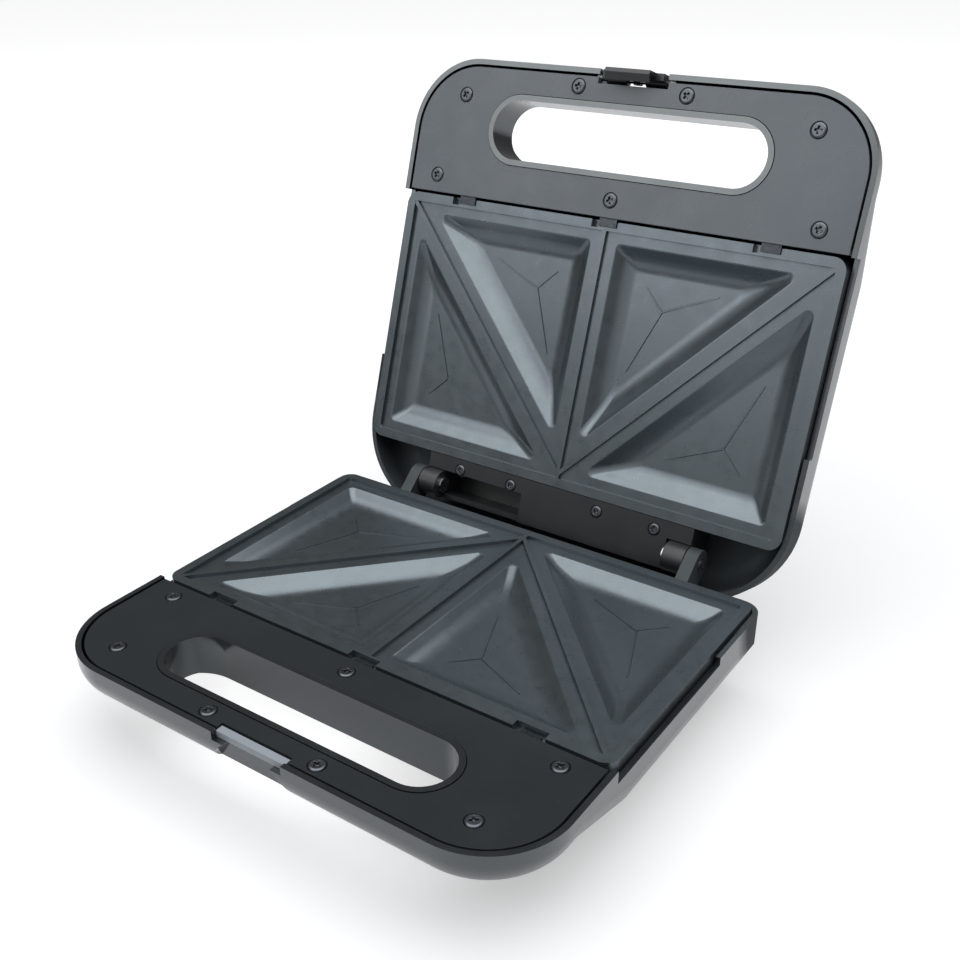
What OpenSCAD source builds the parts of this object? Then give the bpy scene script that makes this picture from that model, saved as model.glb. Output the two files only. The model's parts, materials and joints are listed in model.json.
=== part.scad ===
// Sandwich toaster with two mirrored housings, four-pocket cast plates and a sprung front latch.
// The origin lies on the table, under the middle of the open toaster, with +Y towards the hinge.
// Each half is drawn lying open side up, with the hinge pin along X at its own origin.
// The lid is the mirror image of such a half, turned up about the hinge pin.

/* [Overall size] */
// Width across the housings
body_w = 230; // [190:1:280]
// Reach of both handles in front of the hinge pin
front_reach = 206; // [170:1:250]
// Height of the hinge pin over the table
parting_h = 45; // [44:1:56]
// Angle that the lid opens through
open_angle = 108; // [90:1:110]

/* [Housings] */
// Wall thickness of the moulded housings
wall = 2.4; // [2:0.1:3]
// Corner radius at the handle, seen from above
front_corner_r = 34; // [28:1:40]
// Rounding between the side walls and the outer face
edge_r = 12.8; // [10:0.2:14]
// Straight height of the side wall along the handle
handle_side_h = 5.2; // [4:0.2:6]
// Straight height of the side wall beside the plates
body_side_h = 14; // [12:0.5:17]
// Distance from the front of the housing to the front of the plate
handle_len = 65.2; // [62:0.2:75]
// Length of the slope between the handle and the body
slope_len = 34; // [28:1:40]
// Drop of the side wall below the parting plane beside the plates
rim_drop = 6; // [4:0.5:7]
// Drop of the side wall near the hinge
rear_rim_drop = 2.5; // [2:0.5:4]
// Distance from the hinge pin to the step in the side wall
rim_step_at = 57; // [45:1:70]
// Gap from the hinge pin forward to the back of the base
base_back_gap = 12.2; // [11:0.2:12.6]
// Corner radius at the back of the base
base_back_r = 9; // [6:0.5:12]
// Reach of the lid behind the hinge pin
lid_back_reach = 17; // [16.6:0.2:20]
// Corner radius at the back of the lid
lid_back_r = 43; // [36:1:43]
// Height of the raised field on the lid
crown_h = 7; // [4:0.5:9]
// Distance from the housing sides to the raised fields
field_margin = 26; // [24:1:34]

/* [Handles] */
// Width of the bar in front of the finger slot
front_bar_w = 14.4; // [14:0.2:18]
// Width of the finger slot
slot_w = 32.3; // [26:0.1:36]
// Distance from the housing side to the end of the finger slot
slot_side = 43.7; // [42:0.1:60]
// Width of the collar that lines the finger slot
collar_w = 2.6; // [2.2:0.1:3]
// Thickness of the handle panels
panel_t = 2.4; // [2:0.1:3]
// Gap between a panel and the rim around it
panel_gap = 0.8; // [0.5:0.1:1.2]
// Diameter of the panel screw heads
screw_head_d = 6.8; // [6:0.1:7.2]
// Thread diameter of the panel screws
screw_d = 3; // [2.5:0.1:3.5]

/* [Cooking plates] */
// Gap from the hinge pin to the back of the plates
plate_back_gap = 15.3; // [15.3:0.1:17]
// Depth of the pocket floors under the parting plane
pocket_depth = 7.5; // [6:0.5:9]
// Thickness of the cast metal
plate_t = 2.4; // [2:0.1:3]
// Width of the raised rim
plate_rim_w = 4.4; // [3.5:0.1:5]
// Depth of the flat lands under the rim
land_drop = 1.8; // [1.2:0.1:2.2]
// Width of the land between a pocket and a rim
land_w = 5; // [4:0.1:7]
// Half width of the land along the middle and along the diagonals
ridge_land = 6.8; // [6:0.1:8]
// Width of the sealing ridges
ridge_w = 2; // [1.6:0.1:3]
// Width of the sloping pocket wall
pocket_slope = 6.5; // [5:0.5:8]
// Diameter of the heating tube
tube_d = 6.5; // [5:0.1:7]

/* [Hinge and latch] */
// Diameter of the hinge pins
pin_d = 6; // [5:0.1:7]
// Radial clearance of the hinge pins in the base arms
pin_play = 0.06; // [0.03:0.01:0.09]
// Half width of the hinge block on the lid
block_half_w = 73; // [66:1:76]
// Thickness of the hinge arms
arm_t = 6; // [5:0.5:8]
// Side gap between a hinge arm and its neighbours
arm_gap = 0.5; // [0.4:0.1:1]
// Width of the latch notch in the front walls
notch_w = 34; // [32:1:38]
// Depth of the latch notch from the front
notch_depth = 6; // [5.8:0.1:6.2]
// Width of the latch hook
hook_w = 22; // [14:1:24]

/* [Feet] */
// Height of the rubber feet under the base
foot_h = 5; // [3:0.5:7]
// Diameter of the rubber feet
foot_d = 13; // [10:0.5:13]
// Distance from the hinge pin to the rear feet
rear_foot_at = 22.5; // [22:0.5:30]
// Distance from the hinge pin to the front feet
front_foot_at = 111.5; // [100:0.5:112]

/* [Hidden] */
$fn = 64;

// Gaps and clearances
mate_gap = 0.4; // from the parting plane to each rim
seat_gap = 0.1; // between pieces that drop into one another
fit_gap = 0.01; // radial gap of a pressed pin
trim = 60; // reach of cutting blocks past the part
edge_blend = 0.3; // extra radius of the rounded edges along the slope

// Shape of the housings
half_w = body_w / 2;
over = 30; // height of the raw sections, cut off at the parting plane
slope_angle = atan((body_side_h - handle_side_h) / slope_len);
corner_line = front_reach - front_corner_r;
slope_front = corner_line - 6;
slope_back = slope_front - slope_len;
handle_floor = handle_side_h + edge_r;
body_floor = body_side_h + edge_r;

// Raised fields on the two outer faces
field_half_w = half_w - field_margin;
field_front = slope_back - 11;
plinth_back = base_back_gap + 1;
plinth_h = parting_h - foot_h - body_floor;
plinth_corner = 12;
plinth_edge = 2.4;
crown_back = 20;
crown_corner = 30;
crown_edge = 6;

// Handle panels and finger slots
rim_w = 2.8;
panel_top = mate_gap + 0.3;
panel_half_w = half_w - rim_w - panel_gap;
panel_front = front_reach - rim_w - panel_gap;
panel_corner = front_corner_r - rim_w - panel_gap;
plate_front = front_reach - handle_len;
panel_back = plate_front + 1.5;
slot_half = half_w - slot_side;
slot_at = front_reach - front_bar_w - slot_w / 2;
side_screw_x = half_w - 18;
side_screw_at = front_reach - 55.7;
corner_screw_x = half_w - 27.6;
corner_screw_at = front_reach - 16.9;
front_screw_x = 26.9;
front_screw_at = front_reach - 8.4;
mid_screw_at = front_reach - 56.1;
panel_screws = concat(
    [for (s = [-1, 1]) [s * side_screw_x, -side_screw_at]],
    [for (s = [-1, 1]) [s * corner_screw_x, -corner_screw_at]],
    [for (s = [-1, 1]) [s * front_screw_x, -front_screw_at]],
    [[0, -mid_screw_at]]
);
head_h = 1.6;
head_sink = 1;
boss_d = screw_d + 4;
screw_len = 9;

// Cooking plates
plate_half_w = half_w - wall - 0.6;
plate_corner = 6;
plate_floor = pocket_depth + plate_t;
land_top = mate_gap + land_drop;
ridge_top = mate_gap + 0.2;
cell_x = plate_half_w - plate_rim_w;
cell_front = plate_front - plate_rim_w;
cell_back = plate_back_gap + plate_rim_w;
apex_at = cell_back + 2;
diagonal = [cell_x, cell_front - apex_at];
diagonal_len = norm(diagonal);
diagonal_dir = diagonal / diagonal_len;
pocket_r = 2.6;
floor_r = 2;
mark_w = 0.9;
mark_h = 0.5;
mark_reach = [0.36, 0.42, 0.45];
clip_x = [-78, 0, 78] * (plate_half_w / 112);
clip_w = 9;
clip_slot = 14;
clip_floor = 3.4;
clip_t = 0.8;
clip_reach = 2.6;
clip_foot = 2;
clip_foot_t = 3;
clip_bottom = 9;
wall_front = plate_front + 1.4; // cross wall between the plate and the handle
rest_rib_t = 3;
rest_rib_w = 10;
rest_rib_x = (half_w + plate_half_w) / 2;
rest_ribs = [for (k = [0.2, 0.5, 0.8]) cell_back + k * (cell_front - cell_back)];

// Heating tubes and heat shields
tube_r = tube_d / 2;
tube_z = plate_floor + tube_r;
tube_bend = 22;
tube_x = cell_x - 36;
tube_back = cell_back + 20;
tube_front = cell_front - 24;
tube_gap = 20; // half distance between the cold ends
pin_r = 1.6;
cold_pin_len = 9;
lug_t = 2;
lug_len = 6;
lug_h = 5;
lug_x = 34;
shield_z = plate_floor + tube_d + 1.6;
shield_t = 0.8;
shield_lip = 5;
shield_half_w = cell_x - 9;
shield_back = cell_back + 8;
shield_front = cell_front - 7;
shield_corner = 10;
shield_screw_in = 14;
shield_screw_x = tube_x - shield_screw_in;
shield_screws = [
    for (sx = [-1, 1]) for (f = [tube_back + shield_screw_in, tube_front - shield_screw_in])
        [sx * shield_screw_x, -f]
];
shield_head_d = 6;
shield_head_h = 1.8;

// Hinge
pin_r_hinge = pin_d / 2;
knuckle_r = pin_r_hinge + 4;
arm_x = block_half_w + arm_gap;
arm_tilt = 40;
cheek_w = 10;
pin_head_d = pin_d + 2;
pin_head_t = 1.6;
block_front = plate_back_gap - 0.7;
block_back = -knuckle_r;
cover_t = 2;
block_floor = 20;
block_wall = 2.4;
cover_front = plate_back_gap - 0.3;
cover_screw_at = 9.6;
cover_screw_x = [-54, -24, 24, 54];
cover_head_d = 5.6;

// Latch
notch_x = notch_w / 2;
notch_floor = front_reach - notch_depth;
catch_front = front_reach - 2.4;
catch_back = notch_floor + 0.3;
catch_top = 1.4;
catch_bottom = 4.2;
catch_peg_d = 2.2;
catch_peg_len = 1.9;
catch_peg_x = notch_x - 1.4;
catch_peg_y = -(catch_front + catch_back) / 2;
scoop_r = 19.7; // finger scoop under the catch bar
scoop_z = 20.2;
latch_half_w = notch_x - 2;
latch_at = front_reach - 3.3;
latch_z = 6;
latch_pin_d = 2.4;
latch_play = 0.06;
latch_barrel_r = 2.4;
latch_plate_t = 2;
latch_plate_top = 12;
claw_gap = 0.8;
claw_t = 1.5;
claw_back = notch_floor + 0.9;
spring_half_w = 4;
spring_wire = 0.5;
spring_r = latch_pin_d / 2 + 0.25 + spring_wire / 2;
spring_turns = 5;

// Feet, vents and electrics
foot_x = field_half_w - 20;
foot_spots = [for (sx = [-1, 1]) for (f = [rear_foot_at, front_foot_at]) [sx * foot_x, -f]];
foot_sink = 1.2;
foot_peg_d = 4.8;
outer_z = parting_h - foot_h;
vent_w = 3;
vent_len = 26;
vent_pitch = 9;
vents_per_row = 9;
gland_x = 50;
gland_d = 9;
gland_bore = 6.4;
gland_flange_d = 12;
gland_lip_d = gland_d + 1.2;
gland_z = outer_z - wall - seat_gap - gland_lip_d / 2;
terminal_w = 30;
terminal_l = 16;
terminal_h = 11;
terminal_x = 24;
terminal_at = 46;
sensor_x = 35; // thermostat and fuse, on the back of the lid plate
sensor_at = (tube_back + tube_front) / 2 + 4;
thermostat_d = 16;
thermostat_gap = 0.5;
thermostat_h = shield_z - plate_floor - thermostat_gap;
fuse_d = 4;
fuse_len = 11;
fuse_lead_d = 1;
lens_x = 14;
lens_at = field_front - 13;
lens_d = 9;
lens_flange_d = 11;
crown_z = body_floor + crown_h;
board_z = crown_z - 10;
board_w = 52;
board_l = 14;
board_t = 1.6;

// How far the open lid reaches behind the hinge pin, at its handle and at its raised field
function reach_of_edge(f, z, r) = r + z * sin(open_angle) - f * cos(open_angle);
rear_reach = max(
    reach_of_edge(front_reach - edge_r, handle_side_h, edge_r),
    reach_of_edge(field_front - crown_edge, crown_z - crown_edge, crown_edge)
);
hinge_y = round((front_reach - rear_reach) / 2);

base_black = [0.13, 0.14, 0.15];
panel_grey = [0.22, 0.24, 0.26];
plate_grey = [0.3, 0.32, 0.34];
steel = [0.72, 0.73, 0.75];
cream = [0.85, 0.83, 0.76];
rubber_black = [0.1, 0.1, 0.1];

// ---- helpers ----

// Half of the toaster with its hinge pin along X at the origin, put on the table
module on_base() {
    translate([0, hinge_y, parting_h]) children();
}

// The same half mirrored, and turned up to the angle that the lid opens to
module on_lid() {
    translate([0, hinge_y, parting_h]) rotate([-open_angle, 0, 0]) mirror([0, 0, 1]) children();
}

// Lays a profile drawn in X and Z along Y, from y_front to y_back
module along_y(y_front, y_back) {
    translate([0, y_back, 0]) rotate([90, 0, 0]) linear_extrude(y_back - y_front) children();
}

// Lays a profile drawn in Y and Z along X, centred
module along_x(length) {
    rotate([90, 0, 90]) linear_extrude(length, center = true) children();
}

// Round slot or pad with full-round ends along X
module stadium(half_len, width) {
    straight = half_len - width / 2;
    translate([-straight, -width / 2]) square([2 * straight, width]);
    for (s = [-1, 1]) translate([s * straight, 0]) circle(width / 2);
}

// Rectangle with four rounded corners, from y_front to y_back
module rounded_plan(hw, y_front, y_back, r) {
    translate([-hw, y_front + r]) square([2 * hw, y_back - y_front - 2 * r]);
    translate([r - hw, y_front]) square([2 * (hw - r), y_back - y_front]);
    for (s = [-1, 1]) for (y = [y_front + r, y_back - r]) translate([s * (hw - r), y]) circle(r);
}

// Cross-section of a tray, with its lower edges rounded about y = 0
module tray_section(hw, edge, up) {
    translate([-hw, 0]) square([2 * hw, up]);
    translate([edge - hw, -edge]) square([2 * (hw - edge), edge + 1]);
    for (s = [-1, 1]) translate([s * (hw - edge), 0]) circle(edge);
}

// Half of that section, from the middle of a corner outwards
module corner_section(corner, edge, up) {
    square([corner, up]);
    translate([0, -edge]) square([corner - edge, edge + 1]);
    translate([corner - edge, 0]) circle(edge);
}

// End of a tray towards -Y: two swept corners and the straight piece between them
module tray_end(hw, corner, edge, up) {
    straight = hw - corner;
    rotate([0, 0, -90]) along_y(-straight, straight) corner_section(corner, edge, up);
    translate([straight, 0, 0]) rotate([0, 0, -90]) rotate_extrude(angle = 90)
        corner_section(corner, edge, up);
    translate([-straight, 0, 0]) rotate([0, 0, 180]) rotate_extrude(angle = 90)
        corner_section(corner, edge, up);
}

// Closed tray shape with all its lower edges rounded about axis_z
module tray_block(hw, y_front, y_back, corner, edge, axis_z, up) {
    translate([0, 0, axis_z]) {
        translate([0, y_front + corner, 0]) tray_end(hw, corner, edge, up);
        along_y(y_front + corner, y_back - corner) tray_section(hw, edge, up);
        translate([0, y_back - corner, 0]) mirror([0, 1, 0]) tray_end(hw, corner, edge, up);
    }
}

// ---- housings ----

// Body of the base: straight section with two rounded corners and a rounded lower edge
module base_body_form(inset) {
    y_front = 3 - corner_line;
    y_back = -base_back_gap - inset;
    r = base_back_r - inset;
    hw = half_w - inset;
    intersection() {
        translate([0, 0, -body_side_h]) along_y(y_front, y_back) tray_section(hw, edge_r - inset, over);
        translate([0, 0, -trim]) linear_extrude(2 * trim) {
            translate([-hw, y_front]) square([2 * hw, y_back - y_front - r]);
            translate([r - hw, y_front]) square([2 * (hw - r), y_back - y_front]);
            for (s = [-1, 1]) translate([s * (hw - r), y_back - r]) circle(r);
        }
        along_x(body_w) {
            translate([y_front, inset - body_floor + r]) square([y_back - y_front, trim]);
            translate([y_front, inset - body_floor]) square([y_back - y_front - r, trim]);
            translate([y_back - r, inset - body_floor + r]) circle(r);
        }
    }
}

// Body of the lid: straight section and a widely rounded tray end
module lid_body_form(inset) {
    y_front = 3 - corner_line;
    y_line = lid_back_reach - lid_back_r;
    hw = half_w - inset;
    translate([0, 0, -body_side_h]) {
        along_y(y_front, y_line) tray_section(hw, edge_r - inset, over);
        translate([0, y_line, 0]) mirror([0, 1, 0])
            tray_end(hw, lid_back_r - inset, edge_r - inset, over);
    }
}

// Outer form of a housing, or with an inset the hollow inside it
module housing_form(inset, for_lid) {
    hw = half_w - inset;
    edge = edge_r - inset;
    intersection() {
        union() {
            translate([0, -corner_line, -handle_side_h]) tray_end(hw, front_corner_r - inset, edge, over);
            translate([0, 0, -handle_side_h]) along_y(-corner_line, -slope_back)
                tray_section(hw, edge, over);
            intersection() {
                translate([0, -slope_back, -body_side_h]) rotate([-slope_angle, 0, 0])
                    translate([0, 0, edge_blend])
                    along_y(-2 * slope_len, 2 * corner_line)
                        tray_section(hw, edge + edge_blend, 2 * trim);
                if (for_lid) lid_body_form(inset);
                if (!for_lid) base_body_form(inset);
            }
        }
        translate([-half_w - 1, -front_reach - 1, -trim])
            cube([body_w + 2, front_reach + lid_back_reach + 2, trim]);
    }
}

// Raised field on the outer face: a flat plinth under the base, a soft crown on the lid
module field_form(inset, for_lid) {
    hw = field_half_w - inset;
    up = crown_h + 5;
    if (for_lid)
        tray_block(hw, inset - field_front, -crown_back - inset, crown_corner - inset, crown_edge - inset,
            crown_edge - crown_z, up);
    if (!for_lid)
        tray_block(hw, inset - field_front, -plinth_back - inset, plinth_corner - inset,
            max(plinth_edge - inset, 0.2), plinth_edge - outer_z + max(inset - plinth_edge + 0.2, 0),
            plinth_h);
}

// Shell with its open side cut to the rim heights
module housing_shell(for_lid) {
    difference() {
        union() {
            housing_form(0, for_lid);
            field_form(0, for_lid);
        }
        housing_form(wall, for_lid);
        field_form(wall, for_lid);
        translate([-trim * 3, -front_reach - 1, -mate_gap]) cube([trim * 6, front_reach + trim, trim]);
        translate([-trim * 3, -plate_front - 0.6, -rear_rim_drop])
            cube([trim * 6, plate_front + trim, trim]);
        translate([-trim * 3, -plate_front - 0.6, -rim_drop])
            cube([trim * 6, plate_front + 0.6 - rim_step_at, trim]);
    }
}

// Everything that stands inside a housing, cut off within its wall
module inner_parts(for_lid) {
    deep = for_lid ? crown_z : outer_z;
    panel_floor = panel_top + panel_t;
    intersection() {
        union() {
            translate([0, -slot_at, -trim]) linear_extrude(trim - mate_gap) stadium(slot_half, slot_w);
            for (p = panel_screws) translate([p[0], p[1], -trim])
                cylinder(h = trim - panel_floor, d = boss_d);
            translate([-half_w, -wall_front - 2, -trim]) cube([body_w, 2, trim - panel_floor]);
            translate([-notch_x - wall, -front_reach, -trim])
                cube([notch_w + 2 * wall, notch_depth + wall, trim - panel_floor]);
            for (f = rest_ribs) for (s = [-1, 1])
                translate([s * rest_rib_x - rest_rib_w / 2, -f - rest_rib_t / 2, -trim])
                    cube([rest_rib_w, rest_rib_t, trim - plate_floor]);
            if (for_lid)
                for (x = cover_screw_x) translate([x, -cover_screw_at, -trim])
                    cylinder(h = trim - block_floor, d = boss_d + 1);
        }
        housing_form(wall / 2, for_lid);
    }
    for (p = shield_screws) translate([p[0], p[1], 0.5 - deep])
        cylinder(h = deep - 0.5 - shield_z - shield_t, d = boss_d);
}

// Notch for the latch: open all the way in the lid, over an arched scoop in the base
module latch_notch(for_lid) {
    depth = for_lid ? trim : catch_bottom + seat_gap;
    translate([-notch_x, -front_reach - 1, -depth]) cube([notch_w, notch_depth + 1, 2 * trim]);
    if (!for_lid)
        translate([0, -notch_floor, -scoop_z]) rotate([90, 0, 0])
            cylinder(h = notch_depth + 1, r = scoop_r);
}

// Finger slot, latch notch, clip slots and pilot holes
module inner_cuts(for_lid) {
    pilot_d = screw_d + 2 * seat_gap;
    translate([0, -slot_at, -trim]) linear_extrude(2 * trim)
        stadium(slot_half - collar_w, slot_w - 2 * collar_w);
    latch_notch(for_lid);
    for (p = panel_screws) translate([p[0], p[1], -panel_top - panel_t - screw_len])
        cylinder(h = trim, d = pilot_d);
    for (p = shield_screws) translate([p[0], p[1], -shield_z - shield_t - screw_len])
        cylinder(h = trim, d = pilot_d);
    for (x = clip_x) translate([x - clip_w / 2 - seat_gap, -wall_front - 3, -clip_bottom - seat_gap])
        cube([clip_w + 2 * seat_gap, 4, clip_foot_t + 2 * seat_gap]);
}

module base_arms() {
    for (s = [-1, 1]) translate([s * (arm_x + arm_t / 2), 0, 0]) along_x(arm_t)
        difference() {
            union() {
                circle(knuckle_r);
                intersection() {
                    rotate(180 + arm_tilt) translate([0, -knuckle_r]) square([trim, 2 * knuckle_r]);
                    translate([-base_back_gap - wall / 2, -body_floor + base_back_r])
                        square([trim, trim]);
                }
            }
            circle(pin_r_hinge + pin_play);
        }
}

module base_housing() {
    color(base_black) on_base() difference() {
        union() {
            housing_shell(false);
            inner_parts(false);
            base_arms();
        }
        inner_cuts(false);
        for (s = [-1, 1])
            translate([s * catch_peg_x, catch_peg_y, -catch_bottom - catch_peg_len - seat_gap])
            cylinder(h = trim, d = catch_peg_d + 2 * fit_gap);
        for (p = foot_spots) translate([p[0], p[1], -outer_z - 1]) {
            cylinder(h = foot_sink + 1, d = foot_d + 2 * seat_gap);
            cylinder(h = wall + 2, d = foot_peg_d + 2 * seat_gap);
        }
        for (row = [-1, 1]) for (k = [0 : vents_per_row - 1])
            translate([(k - (vents_per_row - 1) / 2) * vent_pitch,
                -(rear_foot_at + front_foot_at) / 2 + row * (vent_len / 2 + 4), -outer_z - 1])
                rotate(90) linear_extrude(wall + 2) stadium(vent_len / 2, vent_w);
        translate([gland_x, -plinth_back - wall - 1, -gland_z]) rotate([-90, 0, 0])
            cylinder(h = wall + 3, d = gland_d + 2 * seat_gap);
    }
}

module lid_housing() {
    color(base_black) on_lid() difference() {
        union() {
            housing_shell(true);
            inner_parts(true);
        }
        inner_cuts(true);
        translate([-notch_x - wall * 0.7, -latch_at, -latch_z]) rotate([0, 90, 0])
            cylinder(h = notch_w + 1.4 * wall, d = latch_pin_d + 2 * fit_gap);
        for (x = cover_screw_x) translate([x, -cover_screw_at, -block_floor - 3])
            cylinder(h = trim, d = screw_d + 2 * seat_gap);
        for (s = [-1, 1]) translate([s * lens_x, -lens_at, -crown_z - 1])
            cylinder(h = wall + 2, d = lens_d + 2 * seat_gap);
    }
}

// ---- handle panels ----

module handle_panel() {
    translate([0, 0, -panel_top - panel_t]) difference() {
        linear_extrude(panel_t) difference() {
            rounded_plan(panel_half_w, -panel_front, trim - panel_back, panel_corner);
            translate([-trim * 3, -panel_back]) square([trim * 6, 2 * trim]);
            translate([0, -slot_at]) stadium(slot_half + 0.3, slot_w + 0.6);
            translate([-notch_x - 0.4, -front_reach]) square([notch_w + 0.8, notch_depth + 0.4]);
            for (p = panel_screws) translate(p) circle(d = screw_d + 0.4);
        }
        for (p = panel_screws) translate([p[0], p[1], panel_t - head_sink])
            cylinder(h = trim, d = screw_head_d + 0.6);
    }
}

module screw(length, shank_d, head_d, head_height) {
    recess_w = head_d * 0.16;
    recess_l = head_d * 0.62;
    difference() {
        union() {
            translate([0, 0, -length]) cylinder(h = length, d = shank_d);
            cylinder(h = head_height * 0.55, d = head_d);
            translate([0, 0, head_height * 0.55])
                cylinder(h = head_height * 0.45, d1 = head_d, d2 = head_d * 0.7);
        }
        for (a = [0, 90]) rotate(a) translate([-recess_l / 2, -recess_w / 2, head_height * 0.3])
            cube([recess_l, recess_w, head_height]);
    }
}

module panel_screw_set() {
    for (p = panel_screws) translate([p[0], p[1], -panel_top - head_sink])
        rotate(20 + p[0]) screw(screw_len, screw_d, screw_head_d, head_h);
}

module base_handle_panel() { color(panel_grey) on_base() handle_panel(); }
module lid_handle_panel() { color(panel_grey) on_lid() handle_panel(); }
module base_panel_screws() { color(steel) on_base() panel_screw_set(); }
module lid_panel_screws() { color(steel) on_lid() panel_screw_set(); }

// ---- cooking plates ----

// Where a line along the diagonal, offset sideways by k, meets a given distance or width
function x_on_diagonal(f, k) = ((f - apex_at) * diagonal_dir[0] - k) / diagonal_dir[1];
function f_on_diagonal(x, k) = apex_at + (k + x * diagonal_dir[1]) / diagonal_dir[0];

// Corners of the two pockets on one side, listed from the right angle outwards
inner_pocket = [
    [ridge_land, cell_front - land_w],
    [x_on_diagonal(cell_front - land_w, ridge_land), cell_front - land_w],
    [ridge_land, f_on_diagonal(ridge_land, ridge_land)]
];
outer_pocket = [
    [cell_x - land_w, cell_back + land_w],
    [x_on_diagonal(cell_back + land_w, -ridge_land), cell_back + land_w],
    [cell_x - land_w, f_on_diagonal(cell_x - land_w, -ridge_land)]
];

function side_len(tri, k) = norm(tri[(k + 1) % 3] - tri[(k + 2) % 3]);
function girth(tri) = side_len(tri, 0) + side_len(tri, 1) + side_len(tri, 2);
function incentre(tri) =
    (side_len(tri, 0) * tri[0] + side_len(tri, 1) * tri[1] + side_len(tri, 2) * tri[2]) / girth(tri);
function inradius(tri) =
    abs(cross(tri[1] - tri[0], tri[2] - tri[0])) / girth(tri);
function shrink(tri, d) = [for (p = tri) p + (incentre(tri) - p) * d / inradius(tri)];

module pocket(tri) {
    top = shrink(tri, pocket_r);
    bottom = shrink(tri, pocket_slope + floor_r);
    hull() {
        for (p = top) translate([p[0], -p[1], -land_top]) cylinder(h = 1, r = pocket_r, $fn = 32);
        for (p = bottom) translate([p[0], -p[1], -pocket_depth]) cylinder(h = 1, r = floor_r, $fn = 32);
    }
}

module pocket_mark(tri) {
    centre = incentre(tri);
    for (k = [0 : 2]) {
        arm = (tri[k] - centre) * mark_reach[k];
        translate([centre[0], -centre[1], -pocket_depth - 0.2]) rotate(atan2(-arm[1], arm[0]))
            translate([0, -mark_w / 2, 0]) cube([norm(arm), mark_w, mark_h + 0.2]);
    }
}

module both_sides() {
    children();
    mirror([1, 0, 0]) children();
}

// Hollows on the hot side, under the ridges
module plate_relief() {
    depth = plate_floor - land_top - plate_t;
    relief_w = 2 * ridge_land - 2 * plate_t - 2;
    translate([-relief_w / 2, -cell_front + 6, -plate_floor - 1])
        cube([relief_w, cell_front - cell_back - 30, depth + 1]);
    both_sides() translate([0, -apex_at, -plate_floor - 1]) rotate(-atan2(diagonal[1], diagonal[0]))
        translate([28, -relief_w / 2, 0]) cube([diagonal_len - 50, relief_w, depth + 1]);
}

module cooking_plate() {
    difference() {
        translate([0, 0, -plate_floor]) linear_extrude(plate_floor - mate_gap)
            rounded_plan(plate_half_w, -plate_front, -plate_back_gap, plate_corner);
        translate([0, 0, -land_top]) linear_extrude(trim) difference() {
            rounded_plan(cell_x, -cell_front, -cell_back, 2);
            translate([-ridge_w / 2, -cell_front]) square([ridge_w, cell_front - cell_back]);
            both_sides() translate([0, -apex_at]) rotate(-atan2(diagonal[1], diagonal[0]))
                translate([0, -ridge_w / 2]) square([diagonal_len, ridge_w]);
        }
        translate([-cell_x, -cell_front, -ridge_top]) cube([2 * cell_x, cell_front - cell_back, trim]);
        both_sides() {
            pocket(inner_pocket);
            pocket(outer_pocket);
        }
        for (x = clip_x) translate([x - clip_slot / 2, -plate_front - 1, -clip_floor])
            cube([clip_slot, plate_rim_w, trim]);
        plate_relief();
    }
    both_sides() {
        pocket_mark(inner_pocket);
        pocket_mark(outer_pocket);
    }
    tube_lugs();
}

module base_plate() { color(plate_grey) on_base() cooking_plate(); }
module lid_plate() { color(plate_grey) on_lid() cooking_plate(); }

// Clip in a slot of the cross wall, with a nose over the front rim of the plate
module clip_set() {
    leaf_back = -plate_front - 0.3;
    nose = clip_reach - plate_front;
    for (x = clip_x) translate([x, 0, 0]) along_x(clip_w) polygon([
        [-wall_front - clip_foot, -clip_bottom],
        [leaf_back, -clip_bottom],
        [leaf_back, -clip_floor],
        [nose, -clip_floor],
        [nose, clip_t - clip_floor],
        [-wall_front, clip_t - clip_floor],
        [-wall_front, clip_foot_t - clip_bottom],
        [-wall_front - clip_foot, clip_foot_t - clip_bottom]
    ]);
}

module base_plate_clips() { color(steel) on_base() clip_set(); }
module lid_plate_clips() { color(steel) on_lid() clip_set(); }

// ---- heating tubes and shields ----

module tube_bend_at(x, y, start) {
    translate([x, y, -tube_z]) rotate([0, 0, start]) rotate_extrude(angle = 90)
        translate([tube_bend, 0]) circle(tube_r);
}

module tube_run(from, to, r) {
    path = to - from;
    translate([from[0], from[1], -tube_z]) rotate([0, 90, atan2(path[1], path[0])])
        cylinder(h = norm(path), r = r);
}

module heating_tube() {
    inner_x = tube_x - tube_bend;
    y_back = -tube_back;
    y_front = -tube_front;
    for (s = [-1, 1]) {
        tube_run([s * tube_gap, y_back], [s * inner_x, y_back], tube_r);
        tube_run([s * (tube_gap - cold_pin_len), y_back], [s * tube_gap, y_back], pin_r);
        tube_run([s * tube_x, y_back - tube_bend], [s * tube_x, y_front + tube_bend], tube_r);
    }
    tube_bend_at(inner_x, y_back - tube_bend, 0);
    tube_bend_at(-inner_x, y_back - tube_bend, 90);
    tube_bend_at(-inner_x, y_front + tube_bend, 180);
    tube_bend_at(inner_x, y_front + tube_bend, 270);
    tube_run([-inner_x, y_front], [inner_x, y_front], tube_r);
}

// Cast lugs that are peened over the tube
module tube_lugs() {
    mid = (tube_back + tube_front) / 2;
    from_axis = tube_r + lug_t / 2 + seat_gap;
    translate([0, 0, -plate_floor - lug_h]) linear_extrude(lug_h + 1) {
        for (s = [-1, 1]) for (side = [-1, 1])
            translate([s * tube_x + side * from_axis, -mid]) square([lug_t, lug_len], center = true);
        for (s = [-1, 1]) for (f = [tube_back, tube_front]) for (side = [-1, 1])
            translate([s * lug_x, -f + side * from_axis]) square([lug_len, lug_t], center = true);
    }
}

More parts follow.
